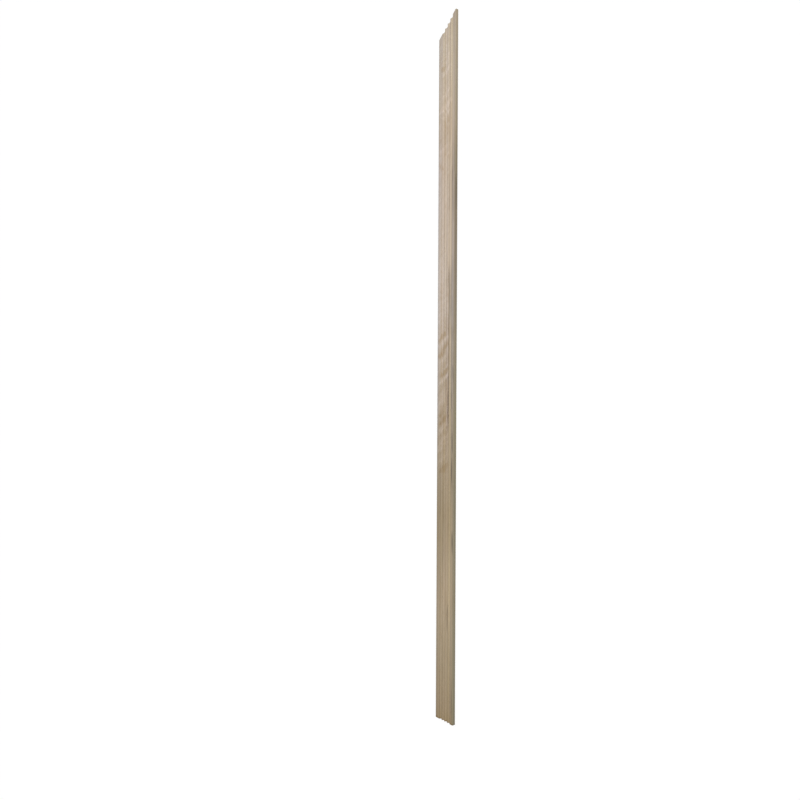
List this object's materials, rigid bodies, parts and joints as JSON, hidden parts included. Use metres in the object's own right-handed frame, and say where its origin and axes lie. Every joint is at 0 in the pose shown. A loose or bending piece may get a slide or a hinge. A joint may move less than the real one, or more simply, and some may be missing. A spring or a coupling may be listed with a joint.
{
  "type": "architrave moulding",
  "caption": "Fluted bare wood architrave leg for a door surround, mitred at the top and cut square at the foot.",
  "frame": {"origin": "middle of the flat back, under the centre of the box around the piece", "axes": "+X along the grain towards the mitred end, +Y towards the inner edge (the short side, beside the door opening), +Z from the flat back to the fluted face"},
  "size_m": [2.05, 0.07, 0.01],
  "materials": {
    "bare_wood": "planed, unfinished"
  },
  "bodies": {
    "root": {"architrave_leg": "bare_wood"}
  },
  "joints": []
}
